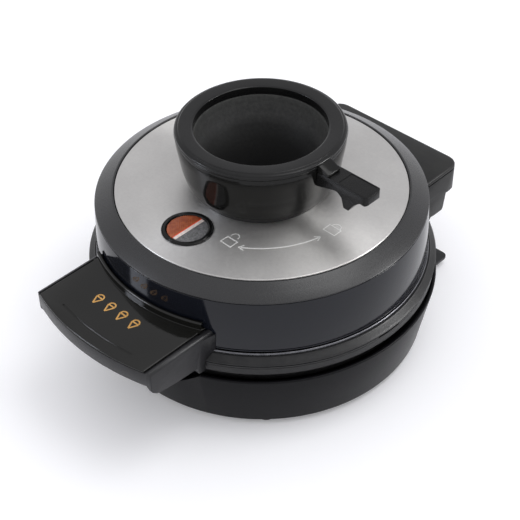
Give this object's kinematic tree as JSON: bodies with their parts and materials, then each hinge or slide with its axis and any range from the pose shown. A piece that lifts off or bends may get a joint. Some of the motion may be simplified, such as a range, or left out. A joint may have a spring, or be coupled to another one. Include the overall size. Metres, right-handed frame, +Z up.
{
  "type": "waffle cone maker",
  "caption": "Round electric waffle cone baker: hinged lid with steel top plate and front handle, twist-lock forming bowl with side lever, tapered base on rubber feet.",
  "frame": {"origin": "on the table, under the middle of the whole object's box", "axes": "+Z up, handle towards -Y, lid hinge and rear stand tongue towards +Y, bowl lever towards +X"},
  "size_m": [0.2288, 0.289, 0.1512],
  "materials": {
    "satin_black_plastic": "satin moulded phenolic, faint orange peel",
    "gloss_black_plastic": "polished moulded plastic",
    "grained_black_plastic": "fine spark-eroded grain",
    "non_stick_coating": "dark grey non-stick coating on cast aluminium",
    "brushed_steel": "circular to straight brushed stainless steel",
    "plain_steel": "zinc plated steel",
    "aluminium_sheet": "rolled aluminium sheet",
    "heater_sheath": "heat-darkened steel sheath",
    "rubber": "matt black silicone rubber",
    "white_ceramic": "glazed ceramic",
    "orange_lens": "translucent orange, fine ribs inside",
    "clear_lens": "clear prismatic plastic",
    "neon_glass": "clear glass bulb",
    "gold_print": "pad-printed gold mark on the handle plate"
  },
  "bodies": {
    "base": {"base_shell": "satin_black_plastic", "base_deck": "satin_black_plastic", "heat_shield": "satin_black_plastic", "hinge_bracket_left": "satin_black_plastic", "hinge_bracket_right": "satin_black_plastic", "bottom_cover": "grained_black_plastic", "foot_front_left": "rubber", "foot_front_right": "rubber", "foot_rear_left": "rubber", "foot_rear_right": "rubber", "cover_screw_1": "plain_steel", "cover_screw_2": "plain_steel", "cover_screw_3": "plain_steel", "cover_screw_4": "plain_steel", "lower_baking_plate": "non_stick_coating", "lower_plate_post_1": "plain_steel", "lower_plate_post_2": "plain_steel", "lower_plate_post_3": "plain_steel", "lower_heating_element": "heater_sheath", "lower_reflector": "aluminium_sheet", "thermostat": "white_ceramic", "thermal_fuse": "plain_steel", "terminal_block": "white_ceramic", "cord_gland": "rubber", "supply_lead_live": "rubber", "supply_lead_neutral": "rubber", "hinge_pin": "plain_steel"},
    "lid": {"lid_shell": "gloss_black_plastic", "lid_top_ring": "satin_black_plastic", "steel_top_plate": "brushed_steel", "indicator_bezel": "gloss_black_plastic", "indicator_lens_orange": "orange_lens", "indicator_lens_clear": "clear_lens", "neon_lamp_heating": "neon_glass", "neon_lamp_ready": "neon_glass", "lamp_holder": "white_ceramic", "upper_baking_plate": "non_stick_coating", "upper_heating_element": "heater_sheath", "upper_reflector": "aluminium_sheet", "upper_plate_post_1": "plain_steel", "upper_plate_post_2": "plain_steel", "upper_plate_post_3": "plain_steel", "handle_frame": "grained_black_plastic", "handle_top_plate": "satin_black_plastic", "handle_screw_left": "plain_steel", "handle_screw_right": "plain_steel", "hinge_cover": "grained_black_plastic", "hinge_screw_left": "plain_steel", "hinge_screw_right": "plain_steel", "bayonet_ring": "satin_black_plastic"},
    "bowl": {"bowl_shell": "satin_black_plastic", "bowl_rim_ring": "satin_black_plastic", "bowl_liner": "non_stick_coating", "bowl_collar": "satin_black_plastic", "bowl_screw_1": "plain_steel", "bowl_screw_2": "plain_steel", "bowl_screw_3": "plain_steel", "lever": "satin_black_plastic", "lever_clip": "gloss_black_plastic"}
  },
  "joints": [
    {"name": "lid_hinge", "type": "hinge", "parent": "base", "child": "lid", "pos_m": [0, 0.1243, 0.05], "axis": [-1, 0, 0], "range_deg": [0, 100]},
    {"name": "bowl_twist", "type": "hinge", "parent": "lid", "child": "bowl", "pos_m": [0, 0.0063, 0.107], "axis": [0, 0, -1], "range_deg": [0, 60]}
  ]
}
